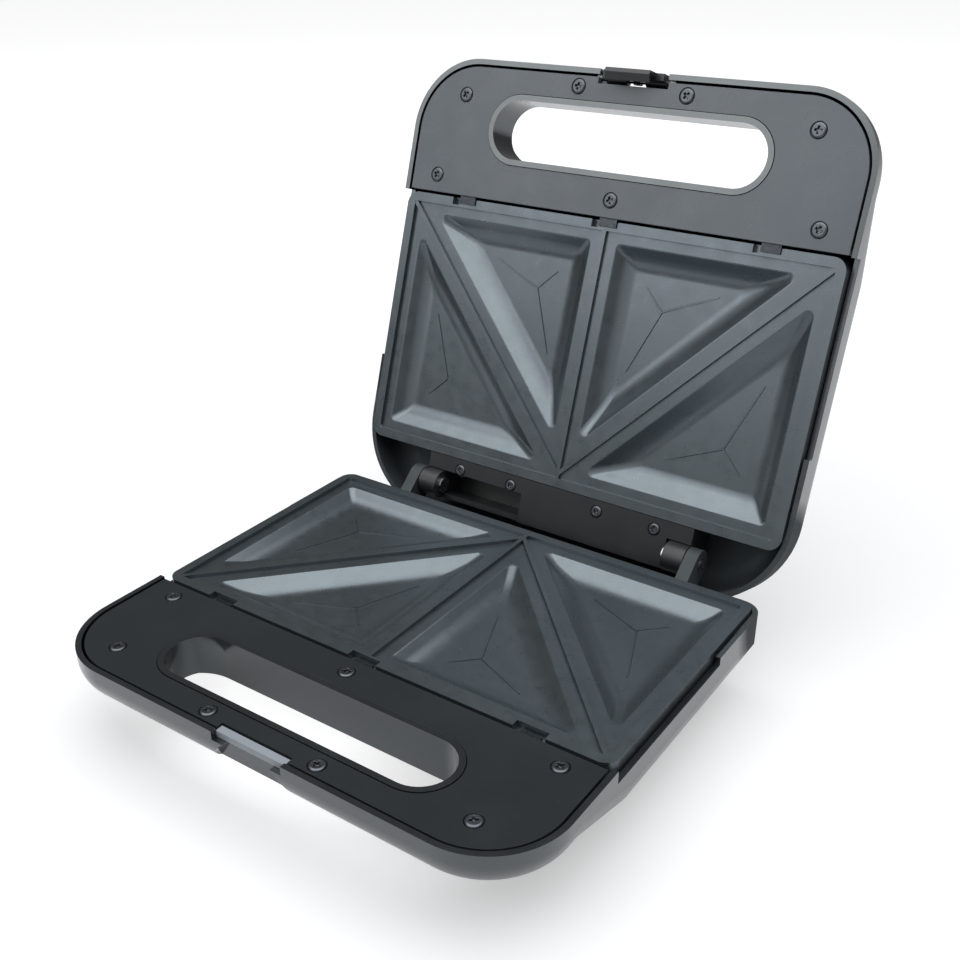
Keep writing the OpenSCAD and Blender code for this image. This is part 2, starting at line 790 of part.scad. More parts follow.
module heat_shield() {
    difference() {
        translate([0, 0, -shield_z - shield_t]) linear_extrude(shield_t + shield_lip)
            rounded_plan(shield_half_w, -shield_front, -shield_back, shield_corner);
        translate([0, 0, -shield_z]) linear_extrude(trim)
            rounded_plan(shield_half_w - shield_t, shield_t - shield_front, -shield_back - shield_t,
                shield_corner - shield_t);
        for (p = shield_screws) translate([p[0], p[1], -trim]) cylinder(h = trim, d = screw_d + 0.4);
    }
}

module shield_screw_set() {
    for (p = shield_screws) translate([p[0], p[1], -shield_z])
        screw(screw_len, screw_d, shield_head_d, shield_head_h);
}

module base_heating_tube() { color(steel) on_base() heating_tube(); }
module lid_heating_tube() { color(steel) on_lid() heating_tube(); }
module base_heat_shield() { color(steel) on_base() heat_shield(); }
module lid_heat_shield() { color(steel) on_lid() heat_shield(); }
module base_shield_screws() { color(steel) on_base() shield_screw_set(); }
module lid_shield_screws() { color(steel) on_lid() shield_screw_set(); }

// ---- hinge ----

module hinge_block() {
    color(base_black) on_lid() difference() {
        union() {
            translate([-block_half_w, -block_front, -block_floor])
                cube([2 * block_half_w, block_front - block_back, block_floor - mate_gap - cover_t]);
            for (s = [-1, 1]) translate([s * (block_half_w - cheek_w / 2), 0, 0]) along_x(cheek_w) {
                circle(knuckle_r);
                translate([-knuckle_r, -block_floor / 2]) square([2 * knuckle_r, block_floor / 2]);
            }
        }
        difference() {
            translate([cheek_w - block_half_w, block_wall - block_front, block_wall - block_floor])
                cube([2 * (block_half_w - cheek_w), block_front - block_back - 2 * block_wall, trim]);
            for (x = cover_screw_x) translate([x, -cover_screw_at, -block_floor])
                cylinder(h = block_floor - mate_gap - cover_t, d = boss_d);
        }
        for (x = cover_screw_x) translate([x, -cover_screw_at, -trim])
            cylinder(h = trim + 1, d = screw_d + 2 * seat_gap);
        rotate([0, 90, 0]) cylinder(h = body_w, r = pin_r_hinge + fit_gap, center = true);
    }
}

module hinge_cover() {
    color(panel_grey) on_lid() difference() {
        translate([-block_half_w, -cover_front, -mate_gap - cover_t])
            cube([2 * block_half_w, cover_front - block_back, cover_t]);
        for (s = [-1, 1])
            translate([s * (block_half_w - cheek_w / 2 + 1) - cheek_w / 2 - 3, -knuckle_r - 0.4, -trim])
            cube([trim, 2 * trim, 2 * trim]);
        for (x = cover_screw_x) translate([x, -cover_screw_at, -trim])
            cylinder(h = 2 * trim, d = screw_d + 0.4);
        for (x = cover_screw_x) translate([x, -cover_screw_at, -mate_gap - 0.8])
            cylinder(h = trim, d = cover_head_d + 0.5);
    }
}

module hinge_cover_screws() {
    color(steel) on_lid() for (x = cover_screw_x) translate([x, -cover_screw_at, -mate_gap - 0.8])
        rotate(x) screw(block_floor + 1, screw_d, cover_head_d, 1.3);
}

module hinge_pins() {
    color(steel) on_lid() for (s = [-1, 1]) {
        inner = block_half_w - cheek_w;
        rotate([0, s * 90, 0]) {
            translate([0, 0, inner]) cylinder(h = cheek_w + arm_gap + arm_t + 0.5, d = pin_d);
            translate([0, 0, inner - pin_head_t]) cylinder(h = pin_head_t, d = pin_head_d);
        }
    }
}

// ---- latch ----

// Bar across the notch in the base, with a peg under each end
module catch_bar() {
    color(steel) on_base() {
        translate([seat_gap - notch_x, -catch_front, -catch_bottom])
            cube([notch_w - 2 * seat_gap, catch_front - catch_back, catch_bottom - catch_top]);
        for (s = [-1, 1]) translate([s * catch_peg_x, catch_peg_y, -catch_bottom - catch_peg_len])
            cylinder(h = catch_peg_len + 1, d = catch_peg_d);
    }
}

module latch_lever() {
    outer_y = 0.2 - front_reach;
    claw_top = catch_bottom + claw_gap;
    color(base_black) on_lid() difference() {
        union() {
            along_x(2 * latch_half_w) {
                intersection() {
                    translate([outer_y, -latch_plate_top])
                        square([latch_plate_t + 1, latch_plate_top + mate_gap]);
                    union() {
                        translate([outer_y, -handle_side_h]) square([latch_plate_t, trim]);
                        translate([edge_r - front_reach, -handle_side_h]) circle(edge_r - 0.2);
                    }
                }
                translate([-latch_at, -latch_z]) circle(latch_barrel_r);
                translate([outer_y, -latch_z - latch_barrel_r * 0.7]) square([2.6, latch_barrel_r * 1.4]);
            }
            along_x(hook_w) polygon([
                [outer_y, 0],
                [outer_y, claw_top + claw_t],
                [outer_y + 1.8, claw_top + claw_t + 0.6],
                [-claw_back, claw_top + 0.5],
                [-claw_back, claw_top],
                [outer_y + 1.8, claw_top],
                [outer_y + 1.8, 0]
            ]);
        }
        translate([0, -latch_at, -latch_z]) rotate([0, 90, 0])
            cylinder(h = notch_w, d = latch_pin_d + 2 * latch_play, center = true);
        translate([-spring_half_w - 0.6, 0.1 - latch_at - latch_barrel_r, -latch_z - 4])
            cube([2 * spring_half_w + 1.2, 6, 8]);
    }
}

module latch_pin() {
    color(steel) on_lid() translate([0, -latch_at, -latch_z]) rotate([0, 90, 0])
        cylinder(h = notch_w + wall, d = latch_pin_d, center = true);
}

// Points of one ring of the spring wire at angle a
function wire_ring(a, pitch, sides) = [for (k = [0 : sides - 1])
    let (b = 360 * k / sides, r = spring_r + spring_wire / 2 * cos(b))
    [pitch * a / 360 + spring_wire / 2 * sin(b), r * cos(a), r * sin(a)]];

module latch_spring() {
    sides = 6;
    per_turn = 14;
    steps = per_turn * spring_turns;
    pitch = spring_wire * 1.35;
    rings = [for (k = [0 : steps]) wire_ring(k * 360 / per_turn, pitch, sides)];
    points = [for (ring = rings) for (p = ring) p];
    sides_faces = [for (k = [0 : steps - 1]) for (j = [0 : sides - 1])
        let (a = k * sides + j, b = k * sides + (j + 1) % sides) [a, b, b + sides, a + sides]];
    first = [for (j = [0 : sides - 1]) sides - 1 - j];
    last = [for (j = [0 : sides - 1]) steps * sides + j];
    color(steel) on_lid() translate([-pitch * spring_turns / 2, -latch_at, -latch_z])
        polyhedron(points, concat([first], sides_faces, [last]));
}

// ---- feet and electrics ----

module rubber_feet() {
    color(rubber_black) on_base() for (p = foot_spots) translate([p[0], p[1], -parting_h]) {
        cylinder(h = 1, d1 = foot_d - 1.6, d2 = foot_d);
        translate([0, 0, 1]) cylinder(h = foot_h + foot_sink - 1, d = foot_d);
        translate([0, 0, foot_h]) cylinder(h = wall + 1, d = foot_peg_d);
        translate([0, 0, foot_h + wall]) cylinder(h = 1.6, d1 = foot_peg_d + 1.2, d2 = foot_peg_d - 1);
    }
}

module terminal_block() {
    floor_z = outer_z - wall;
    pole = terminal_w / 3;
    color(cream) on_base() difference() {
        translate([terminal_x - terminal_w / 2, -terminal_at - terminal_l / 2, -floor_z])
            cube([terminal_w, terminal_l, terminal_h]);
        for (k = [-1 : 1]) {
            translate([terminal_x + k * pole, -terminal_at, -floor_z + terminal_h / 2]) rotate([90, 0, 0])
                cylinder(h = terminal_l + 1, d = 4, center = true);
            for (s = [-1, 1])
                translate([terminal_x + k * pole, -terminal_at + s * 4, -floor_z + terminal_h - 3])
                cylinder(h = 4, d = 3.4);
        }
    }
}

module cord_gland() {
    flange_y = -plinth_back;
    color(rubber_black) on_base() translate([gland_x, flange_y, -gland_z]) rotate([-90, 0, 0])
        difference() {
        union() {
            translate([0, 0, -wall]) cylinder(h = wall + 1, d = gland_d);
            cylinder(h = 2, d = gland_flange_d);
            translate([0, 0, 2]) cylinder(h = 1, d1 = gland_flange_d, d2 = gland_flange_d - 2);
            translate([0, 0, -wall - 2]) cylinder(h = 2, d1 = gland_d - 0.6, d2 = gland_lip_d);
        }
        translate([0, 0, -trim]) cylinder(h = 2 * trim, d = gland_bore);
    }
}

// Bimetal disc in a ceramic cup, with an ear on each side
module thermostat() {
    color(steel) on_lid() translate([-sensor_x, -sensor_at, -plate_floor - thermostat_h]) {
        translate([0, 0, thermostat_h - 5]) cylinder(h = 5, d = thermostat_d);
        cylinder(h = thermostat_h, d = thermostat_d - 3);
        for (s = [-1, 1]) translate([s * thermostat_d / 2 - 3, -3, thermostat_h - 3.2]) cube([6, 6, 0.8]);
    }
}

module thermal_fuse() {
    color(cream) on_lid()
        translate([sensor_x, -sensor_at, -plate_floor - fuse_d / 2]) rotate([0, 90, 0]) {
            cylinder(h = fuse_len, d = fuse_d, center = true);
            cylinder(h = 3 * fuse_len, d = fuse_lead_d, center = true);
        }
}

module lamp_board() {
    color([0.55, 0.42, 0.28]) on_lid() {
        translate([-board_w / 2, -lens_at - board_l / 2, -board_z]) cube([board_w, board_l, board_t]);
        for (s = [-1, 1]) {
            translate([s * lens_x, -lens_at, -board_z - 3.6]) cylinder(h = 3.6, d = 5);
            translate([s * (board_w / 2 - 3), -lens_at, wall - crown_z])
                cylinder(h = crown_z - wall - board_z, d = 4);
        }
    }
}

module lamp_lens(s) {
    on_lid() translate([s * lens_x, -lens_at, -crown_z]) {
        translate([0, 0, -0.8]) cylinder(h = 0.8, d1 = lens_d - 3, d2 = lens_d);
        cylinder(h = wall, d = lens_d);
        translate([0, 0, wall]) cylinder(h = 1.2, d = lens_flange_d);
    }
}

module power_lamp_lens() { color([0.75, 0.08, 0.05]) lamp_lens(-1); }
module ready_lamp_lens() { color([0.1, 0.6, 0.2]) lamp_lens(1); }

base_housing();
base_handle_panel();
base_panel_screws();
base_plate();
base_plate_clips();
base_heating_tube();
base_heat_shield();
base_shield_screws();
catch_bar();
rubber_feet();
terminal_block();
cord_gland();
lid_housing();
lid_handle_panel();
lid_panel_screws();
lid_plate();
lid_plate_clips();
lid_heating_tube();
lid_heat_shield();
lid_shield_screws();
hinge_block();
hinge_cover();
hinge_cover_screws();
hinge_pins();
thermostat();
thermal_fuse();
lamp_board();
power_lamp_lens();
ready_lamp_lens();
latch_lever();
latch_pin();
latch_spring();
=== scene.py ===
"""Sandwich toaster: pieces, finishes and studio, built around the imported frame."""
import json
import math

import bmesh
import bpy
from bpy.props import FloatProperty, FloatVectorProperty, PointerProperty
from mathutils import Matrix, Vector

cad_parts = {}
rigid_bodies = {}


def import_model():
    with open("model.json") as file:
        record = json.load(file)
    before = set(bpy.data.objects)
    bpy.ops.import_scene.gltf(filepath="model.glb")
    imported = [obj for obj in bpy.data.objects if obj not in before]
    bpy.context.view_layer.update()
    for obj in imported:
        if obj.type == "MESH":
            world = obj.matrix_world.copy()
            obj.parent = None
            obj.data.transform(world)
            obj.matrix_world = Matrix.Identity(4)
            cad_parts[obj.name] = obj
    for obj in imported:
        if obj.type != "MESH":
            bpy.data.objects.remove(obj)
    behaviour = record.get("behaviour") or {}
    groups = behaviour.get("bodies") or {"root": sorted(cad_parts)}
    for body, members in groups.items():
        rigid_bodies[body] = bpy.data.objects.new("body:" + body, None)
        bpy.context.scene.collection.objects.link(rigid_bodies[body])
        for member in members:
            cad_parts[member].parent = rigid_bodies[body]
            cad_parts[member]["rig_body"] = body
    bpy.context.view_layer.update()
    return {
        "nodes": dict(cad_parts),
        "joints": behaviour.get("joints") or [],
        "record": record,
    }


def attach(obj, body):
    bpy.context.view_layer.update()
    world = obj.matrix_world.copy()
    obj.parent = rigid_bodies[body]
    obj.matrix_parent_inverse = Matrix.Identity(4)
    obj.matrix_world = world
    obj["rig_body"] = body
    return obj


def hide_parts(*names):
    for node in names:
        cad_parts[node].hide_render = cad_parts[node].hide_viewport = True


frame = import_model()

bl_info = {
    "name": "Sandwich toaster",
    "version": (1, 0, 0),
    "blender": (4, 5, 0),
    "location": "3D View > Sidebar > Toaster",
    "description": "Builds the pieces, finishes and studio of a sandwich toaster",
    "category": "Object",
}

MM = 0.001
HINGE = Vector(frame["joints"][0]["pos_m"])
OPEN_ANGLE = math.radians(frame["joints"][0]["range_deg"][1])
WELD = 1e-6
SAME_PLANE = math.radians(0.5)


def paint(red, green, blue):
    """Linear colour of an on-screen colour given from 0 to 255."""
    return tuple(
        (c / 255 / 12.92 if c < 10.31 else ((c / 255 + 0.055) / 1.055) ** 2.4)
        for c in (red, green, blue)
    )


def tint(colour, factor):
    """A colour made lighter or darker, with full alpha."""
    return tuple(min(c * factor, 1.0) for c in colour[:3]) + (1.0,)


# ---- settings ----

def colour_setting(name, description, default):
    return FloatVectorProperty(
        name=name, description=description, default=default, subtype="COLOR", size=3, min=0, max=1
    )


def length_setting(name, description, default):
    return FloatProperty(
        name=name, description=description, default=default, min=0,
        subtype="DISTANCE", unit="LENGTH"
    )


class ToasterColours(bpy.types.PropertyGroup):
    """Colours of the finishes"""

    housing: colour_setting("Housing", "Moulded housings", paint(22, 25, 27))
    base_panel: colour_setting("Base panel", "Panel over the base handle", paint(40, 44, 47))
    lid_panel: colour_setting("Lid panel", "Panel over the lid handle", paint(88, 95, 102))
    coating: colour_setting("Coating", "Non-stick coating of the plates", paint(98, 106, 111))
    steel: colour_setting("Steel", "Hinge pins and latch pin", paint(176, 178, 182))
    clip: colour_setting("Spring steel", "Clips, shield screws and latch spring", paint(74, 78, 82))
    catch: colour_setting("Catch", "Bar that the latch holds", paint(142, 148, 156))
    floor: colour_setting("Floor", "Studio floor", paint(206, 207, 209))


class ToasterEdges(bpy.types.PropertyGroup):
    """Rounding of the edges that catch the light"""

    housing: length_setting("Housing edge", "Rounding of the housing edges", 0.35 * MM)
    panel: length_setting("Panel edge", "Rounding of the handle panel edges", 0.45 * MM)
    casting: length_setting("Casting edge", "Rounding of the plate rim and ridges", 0.5 * MM)
    pocket_floor: length_setting(
        "Pocket floor", "Rounding between the pocket floors and slopes", 13 * MM)
    pocket_top: length_setting("Pocket top", "Rounding of the pocket tops", 1.4 * MM)
    mark: length_setting("Mark width", "Width of the ridges on the pocket floors", 2.2 * MM)
    small: length_setting("Small edge", "Rounding of the small pieces", 0.25 * MM)


class ToasterScrews(bpy.types.PropertyGroup):
    """Sizes of the cross-head screws"""

    head: length_setting("Head radius", "Radius of the panel screw heads", 3.4 * MM)
    rise: length_setting("Head height", "Height of the panel screw heads", 1.6 * MM)
    cover_head: length_setting(
        "Cover head radius", "Radius of the hinge cover screw heads", 2.8 * MM)
    cover_rise: length_setting(
        "Cover head height", "Height of the hinge cover screw heads", 1.3 * MM)
    shank: length_setting("Shank radius", "Radius of the shanks", 1.5 * MM)
    length: length_setting("Shank length", "Length of the shanks", 9 * MM)


class ToasterStudio(bpy.types.PropertyGroup):
    """Light and floor of the studio"""

    floor_size: length_setting("Floor size", "Side of the square floor", 14.0)
    sky: FloatProperty(name="Sky", description="Light from all around", default=0.18, min=0)
    key: FloatProperty(
        name="Key", description="Large lamp overhead", default=32.0, min=0, unit="POWER")
    fill: FloatProperty(
        name="Fill", description="Lamp in front", default=5.0, min=0, unit="POWER")
    near: FloatProperty(
        name="Near lift", description="Paleness added by the toaster", default=0.42, min=0)
    far: FloatProperty(
        name="Far lift", description="Paleness added far away", default=0.8, min=0)


# ---- finishes ----

class Value:
    """What a node gives, with arithmetic written as on plain numbers."""

    def __init__(self, finish, socket):
        self.finish = finish
        self.socket = socket

    def _math(self, operation, first, second):
        sockets = {0: first, 1: second}
        return self.finish.node("ShaderNodeMath", {"operation": operation}, sockets)

    def __add__(self, other):
        return self._math("ADD", self, other)

    def __mul__(self, other):
        return self._math("MULTIPLY", self, other)

    def __sub__(self, other):
        return self._math("SUBTRACT", self, other)

    def __rsub__(self, other):
        return self._math("SUBTRACT", other, self)

    __radd__ = __add__
    __rmul__ = __mul__


class Finish:
    """A material with one main shader, and the ways to add nodes to it."""

    def __init__(self, name, **values):
        self.material = bpy.data.materials.new(name)
        self.material.use_nodes = True
        self.tree = self.material.node_tree
        self.shader = self.tree.nodes["Principled BSDF"]
        self.place = self.node("ShaderNodeTexCoord", {}, {}, "Object")
        for socket, value in values.items():
            self.shader.inputs[socket.replace("_", " ")].default_value = value

    def node(self, kind, options, inputs, output=0):
        """Adds a node, sets it and feeds its sockets, and gives the named output."""
        node = self.tree.nodes.new(kind)
        for option, value in options.items():
            if option == "stops":
                self._stops(node.color_ramp, value)
            else:
                setattr(node, option, value)
        for socket, value in inputs.items():
            self.feed(node.inputs[socket], value)
        return Value(self, node.outputs[output])

    def feed(self, socket, value):
        if isinstance(value, Value):
            self.tree.links.new(value.socket, socket)
        else:
            socket.default_value = value

    def _stops(self, ramp, stops):
        while len(ramp.elements) < len(stops):
            ramp.elements.new(0.5)
        for element, (position, level) in zip(ramp.elements, stops):
            element.position = position
            element.color = (level, level, level, 1)

    def noise(self, scale, detail=2.0, place=None):
        sockets = {"Vector": place or self.place, "Scale": scale, "Detail": detail}
        return self.node("ShaderNodeTexNoise", {}, sockets, "Fac")

    def cells(self, scale):
        sockets = {"Vector": self.place, "Scale": scale}
        return self.node("ShaderNodeTexVoronoi", {}, sockets, "Distance")

    def ramp(self, value, *stops):
        return self.node("ShaderNodeValToRGB", {"stops": stops}, {"Fac": value}, "Color")

    def spread(self, value, low, high, at_low, at_high):
        """A value carried from one range to another and held at its ends."""
        sockets = {
            "Value": value, "From Min": low, "From Max": high, "To Min": at_low, "To Max": at_high}
        return self.node("ShaderNodeMapRange", {}, sockets)

    def stretched(self, x, y, z, centre=(0, 0, 0)):
        """Object coordinates from a centre, drawn out by a factor along each axis."""
        shift = (-centre[0] * x, -centre[1] * y, -centre[2] * z)
        sockets = {"Vector": self.place, "Scale": (x, y, z), "Location": shift}
        return self.node("ShaderNodeMapping", {}, sockets)

    def distance(self, place):
        """How far a place is from its origin."""
        return self.node("ShaderNodeVectorMath", {"operation": "LENGTH"}, {0: place}, "Value")

    def blend(self, factor, first, second):
        """Colour mixed from two colours by a factor."""
        sockets = {"Factor": factor, 6: first, 7: second}
        return self.node("ShaderNodeMix", {"data_type": "RGBA"}, sockets, 2)

    def set(self, **sockets):
        for socket, value in sockets.items():
            self.feed(self.shader.inputs[socket.replace("_", " ")], value)

    def bump(self, height, strength, depth):
        sockets = {"Height": height, "Strength": strength, "Distance": depth}
        self.set(Normal=self.node("ShaderNodeBump", {}, sockets, "Normal"))


MATT_HINGE_REACH = (0.03, 0.04)
MATT_HINGE_ROUGHER = 0.5


def moulded_plastic(name, colour, rough, grain=0.12, matt_hinge=False, **values):
    """Injection-moulded plastic: fine spark grain, faint flow clouds and handling smudges.

    With matt_hinge, the gloss stops at the inside of the hinge.
    """
    finish = Finish(name, **values)
    clouds = finish.noise(22, 3)
    smudges = finish.noise(75, 4)
    finish.set(Base_Color=finish.blend(clouds, tint(colour, 0.82), tint(colour, 1.2)))
    shine = finish.ramp(smudges, (0.3, rough - 0.04), (0.75, rough + 0.07))
    if matt_hinge:
        off_axis = finish.distance(finish.stretched(0, 1, 1, HINGE))
        matt = finish.spread(off_axis, *MATT_HINGE_REACH, 1, 0)
        finish.set(Coat_Weight=1 - matt)
        shine = shine + matt * MATT_HINGE_ROUGHER
    finish.set(Roughness=shine)
    finish.bump(finish.noise(2600, 2), grain, 0.05 * MM)
    return finish.material


def non_stick_coating(name, colour):
    """Sprayed coating on cast metal: fine speckle, orange peel and worn shine."""
    finish = Finish(name, Metallic=0.8, Specular_IOR_Level=0.6)
    speckle = finish.ramp(finish.noise(2300, 3), (0.42, 0.0), (0.72, 1.0))
    clouds = finish.noise(28, 4)
    base = finish.blend(clouds, tint(colour, 0.84), tint(colour, 1.1))
    flecked = finish.blend(speckle * 0.18, base, tint(colour, 1.6))
    finish.set(Base_Color=flecked)
    finish.set(Roughness=finish.ramp(finish.noise(160, 3), (0.3, 0.26), (0.7, 0.34)))
    finish.bump(finish.noise(1500, 2) + finish.noise(340, 2) * 0.2, 0.1, 0.05 * MM)
    return finish.material


def drawn_steel(name, colour, rough, along=(1, 1, 1)):
    """Rolled or drawn steel: streaks along the piece and slight stain."""
    finish = Finish(name, Metallic=1.0)
    streaks = finish.noise(900, 2, finish.stretched(*along))
    stain = finish.noise(60, 4)
    finish.set(Base_Color=finish.blend(stain, tint(colour, 0.72), tint(colour, 1.05)))
    finish.set(Roughness=finish.ramp(streaks, (0.3, rough - 0.08), (0.7, rough + 0.1)))
    finish.bump(streaks, 0.15, 0.03 * MM)
    return finish.material


def heater_steel(name):
    """Sheathed heating tube: steel with brown and blue heat tint."""
    finish = Finish(name, Metallic=1.0)
    heat = finish.ramp(finish.noise(45, 3), (0.35, 0.0), (0.65, 1.0))
    finish.set(Base_Color=finish.blend(heat, (0.16, 0.13, 0.11, 1), (0.3, 0.29, 0.31, 1)))
    finish.set(Roughness=finish.ramp(finish.noise(300, 3), (0.3, 0.38), (0.7, 0.55)))
    finish.bump(finish.noise(1200, 3), 0.2, 0.05 * MM)
    return finish.material


def rubber(name):
    """Matt rubber with a fine grain and pale dust."""
    finish = Finish(name, Specular_IOR_Level=0.35)
    dust = finish.ramp(finish.noise(240, 4), (0.45, 0.0), (0.8, 1.0))
    black, dusty = (0.012, 0.012, 0.013, 1), (0.035, 0.035, 0.036, 1)
    finish.set(Base_Color=finish.blend(dust * 0.5, black, dusty))
    finish.set(Roughness=finish.ramp(finish.noise(500, 2), (0.3, 0.72), (0.7, 0.86)))
    finish.bump(finish.noise(1900, 3), 0.35, 0.08 * MM)
    return finish.material


def ceramic(name, colour, rough):
    """Fired ceramic or phenolic: pale with small dark specks."""
    finish = Finish(name)
    specks = finish.ramp(finish.cells(520), (0.06, 1.0), (0.16, 0.0))
    finish.set(Base_Color=finish.blend(specks * 0.6, tint(colour, 1.0), tint(colour, 0.45)))
    worn = finish.noise(200, 3)
    finish.set(Roughness=finish.ramp(worn, (0.3, rough - 0.06), (0.7, rough + 0.08)))
    finish.bump(finish.noise(1400, 3), 0.25, 0.05 * MM)
    return finish.material


def board_laminate(name):
    """Paper laminate: brown with a fine weave of fibres."""
    finish = Finish(name)
    drawn_out = finish.noise(700, 4, finish.stretched(0.15, 1, 1))
    fibres = drawn_out * 0.5 + finish.noise(700, 4) * 0.5
    finish.set(Base_Color=finish.blend(fibres, (0.16, 0.085, 0.035, 1), (0.36, 0.22, 0.11, 1)))
    finish.set(Roughness=finish.ramp(fibres, (0.3, 0.42), (0.7, 0.6)))
    finish.bump(fibres, 0.2, 0.05 * MM)
    return finish.material


def lamp_lens(name, colour):
    """Tinted clear plastic over a neon lamp."""
    finish = Finish(name, Transmission_Weight=0.45, IOR=1.49)
    haze = finish.noise(180, 3)
    finish.set(Base_Color=finish.blend(haze, tint(colour, 0.8), tint(colour, 1.1)))
    finish.set(Roughness=finish.ramp(finish.noise(420, 2), (0.3, 0.1), (0.7, 0.2)))
    finish.bump(finish.noise(1100, 2), 0.08, 0.04 * MM)
    return finish.material


COOL_SHINE = (0.84, 0.95, 1.0, 1.0)


def all_finishes():
    """One material for each slot of the record."""
    colours = bpy.context.scene.toaster_colours
    return {
        "housing_plastic": moulded_plastic(
            "Housing plastic", colours.housing, 0.2, 0.06, matt_hinge=True,
            Specular_IOR_Level=1.0, Specular_Tint=COOL_SHINE, Coat_Roughness=0.12),
        "base_panel_plastic": moulded_plastic("Base panel plastic", colours.base_panel, 0.16, 0.04),
        "lid_panel_plastic": moulded_plastic("Lid panel plastic", colours.lid_panel, 0.28, 0.06),
        "black_screws": moulded_plastic(
            "Blackened screws", paint(88, 92, 97), 0.3, 0.12, Metallic=0.9),
        "plate_coating": non_stick_coating("Non-stick coating", colours.coating),
        "spring_steel": drawn_steel("Spring steel", colours.clip, 0.34),
        "heater_steel": heater_steel("Heater sheath"),
        "shield_metal": drawn_steel("Aluminised sheet", paint(190, 192, 194), 0.4, (1, 0.1, 1)),
        "catch_plastic": moulded_plastic("Catch plastic", colours.catch, 0.3, 0.1),
        "foot_rubber": rubber("Foot rubber"),
        "terminal_plastic": ceramic("Terminal plastic", paint(226, 221, 205), 0.5),
        "hinge_plastic": moulded_plastic("Hinge plastic", paint(34, 36, 38), 0.38, 0.16),
        "pin_steel": drawn_steel("Pin steel", colours.steel, 0.26, (0.1, 1, 1)),
        "thermostat_ceramic": ceramic("Thermostat ceramic", paint(214, 210, 200), 0.55),
        "board_laminate": board_laminate("Board laminate"),
        "red_lens": lamp_lens("Red lens", (0.62, 0.02, 0.015)),
        "green_lens": lamp_lens("Green lens", (0.03, 0.42, 0.08)),
        "latch_plastic": moulded_plastic("Latch plastic", paint(34, 36, 39), 0.3, 0.12),
    }


def finish_of(slot):
    """The material made for a slot."""
    return bpy.data.materials[bpy.context.scene["finish_" + slot]]


SLOTS = {row["node"]: row["material_slot"] for row in frame["record"]["subparts"]}


# ---- modelling helpers ----

def select_only(piece):
    bpy.ops.object.select_all(action="DESELECT")
    piece.select_set(True)
    bpy.context.view_layer.objects.active = piece


def edit(piece, work):
    """Runs work(piece) in edit mode: it selects in code and calls edit operators."""
    select_only(piece)
    bpy.ops.object.mode_set(mode="EDIT")
    work(piece)
    bpy.ops.object.mode_set(mode="OBJECT")


def select_where(piece, kind, test):
    """Selects the faces, edges or verts of a mesh in edit mode for which test is true."""
    mesh = bmesh.from_edit_mesh(piece.data)
    bpy.ops.mesh.select_mode(type={"verts": "VERT", "edges": "EDGE", "faces": "FACE"}[kind])
    bpy.ops.mesh.select_all(action="DESELECT")
    for element in getattr(mesh, kind):
        if test(element):
            element.select_set(True)
    mesh.select_flush_mode()
    bmesh.update_edit_mesh(piece.data)


def in_order(elements):
    """Mesh elements, each once, in an order that is the same each run, unlike a set's."""
    return dict.fromkeys(elements)


def apply_modifier(piece, kind, **options):
    select_only(piece)
    modifier = piece.modifiers.new("Step", kind)
    for option, value in options.items():
        setattr(modifier, option, value)
    bpy.ops.object.modifier_apply(modifier=modifier.name)


def ease_edges(piece, width, sharper_than=38, segments=2):
    """Rounds every edge sharper than an angle, given in degrees."""
    apply_modifier(
        piece, "BEVEL", width=width, segments=segments, limit_method="ANGLE",
        angle_limit=math.radians(sharper_than), use_clamp_overlap=True, miter_outer="MITER_ARC",
    )


def smooth(piece, angle=30):
    """Smooth shading in which the large flat faces stay flat."""
    select_only(piece)
    bpy.ops.object.shade_smooth_by_angle(angle=math.radians(angle))
    apply_modifier(piece, "WEIGHTED_NORMAL", mode="FACE_AREA", weight=100, keep_sharp=True)


def welded_copy(node, name):
    """A copy of a CAD node with its loose triangles merged and its flat faces made whole."""
    piece = bpy.data.objects.new(name, frame["nodes"][node].data.copy())
    bpy.context.scene.collection.objects.link(piece)

    def weld(_):
        bpy.ops.mesh.select_all(action="SELECT")
        bpy.ops.mesh.remove_doubles(threshold=WELD)
        bpy.ops.mesh.dissolve_limited(angle_limit=SAME_PLANE)

    edit(piece, weld)
    select_only(piece)
    bpy.ops.mesh.customdata_custom_splitnormals_clear()
    return piece


def turned_up(piece, name):
    """The lid's copy of a base piece that is symmetric left and right."""
    lid_piece = bpy.data.objects.new(name, piece.data.copy())
    bpy.context.scene.collection.objects.link(lid_piece)
    lid_piece.data.transform(lid_to_flat().inverted())
    return lid_piece


def finished(piece, body, *nodes):
    """Gives a piece its finish and its body, and lets it stand for its CAD nodes."""
    slot = SLOTS[nodes[0]]
    piece.data.materials.clear()
    piece.data.materials.append(finish_of(slot))
    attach(piece, body)
    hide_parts(*nodes)


def eased_piece(node, width, sharper_than=38, segments=2):
    """A CAD node's shape with its edges rounded, in place of the node."""
    piece = welded_copy(node, node + "_piece")
    ease_edges(piece, width, sharper_than, segments)
    smooth(piece)
    finished(piece, frame["nodes"][node]["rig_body"], node)


class ToasterOperator(bpy.types.Operator):
    bl_options = {"REGISTER", "UNDO"}


# ---- pieces ----

class TOASTER_OT_finishes(ToasterOperator):
    """Make one procedural finish for each material of the toaster"""

    bl_idname = "toaster.finishes"
    bl_label = "Finishes"

    def execute(self, context):
        for slot, material in all_finishes().items():
            context.scene["finish_" + slot] = material.name
        for name, node in frame["nodes"].items():
            node.data.materials.clear()
            node.data.materials.append(finish_of(SLOTS[name]))
        return {"FINISHED"}


FLAT = 0.99
SLOPE = (0.3, 0.95)
UPRIGHT = 0.05
NEAR_LEVEL = 0.02 * MM
ROUND_STEPS = 9
TOP_ROUND_SKIP = 3
ARM_REACH = 1.5 * MM
POCKETS = 4


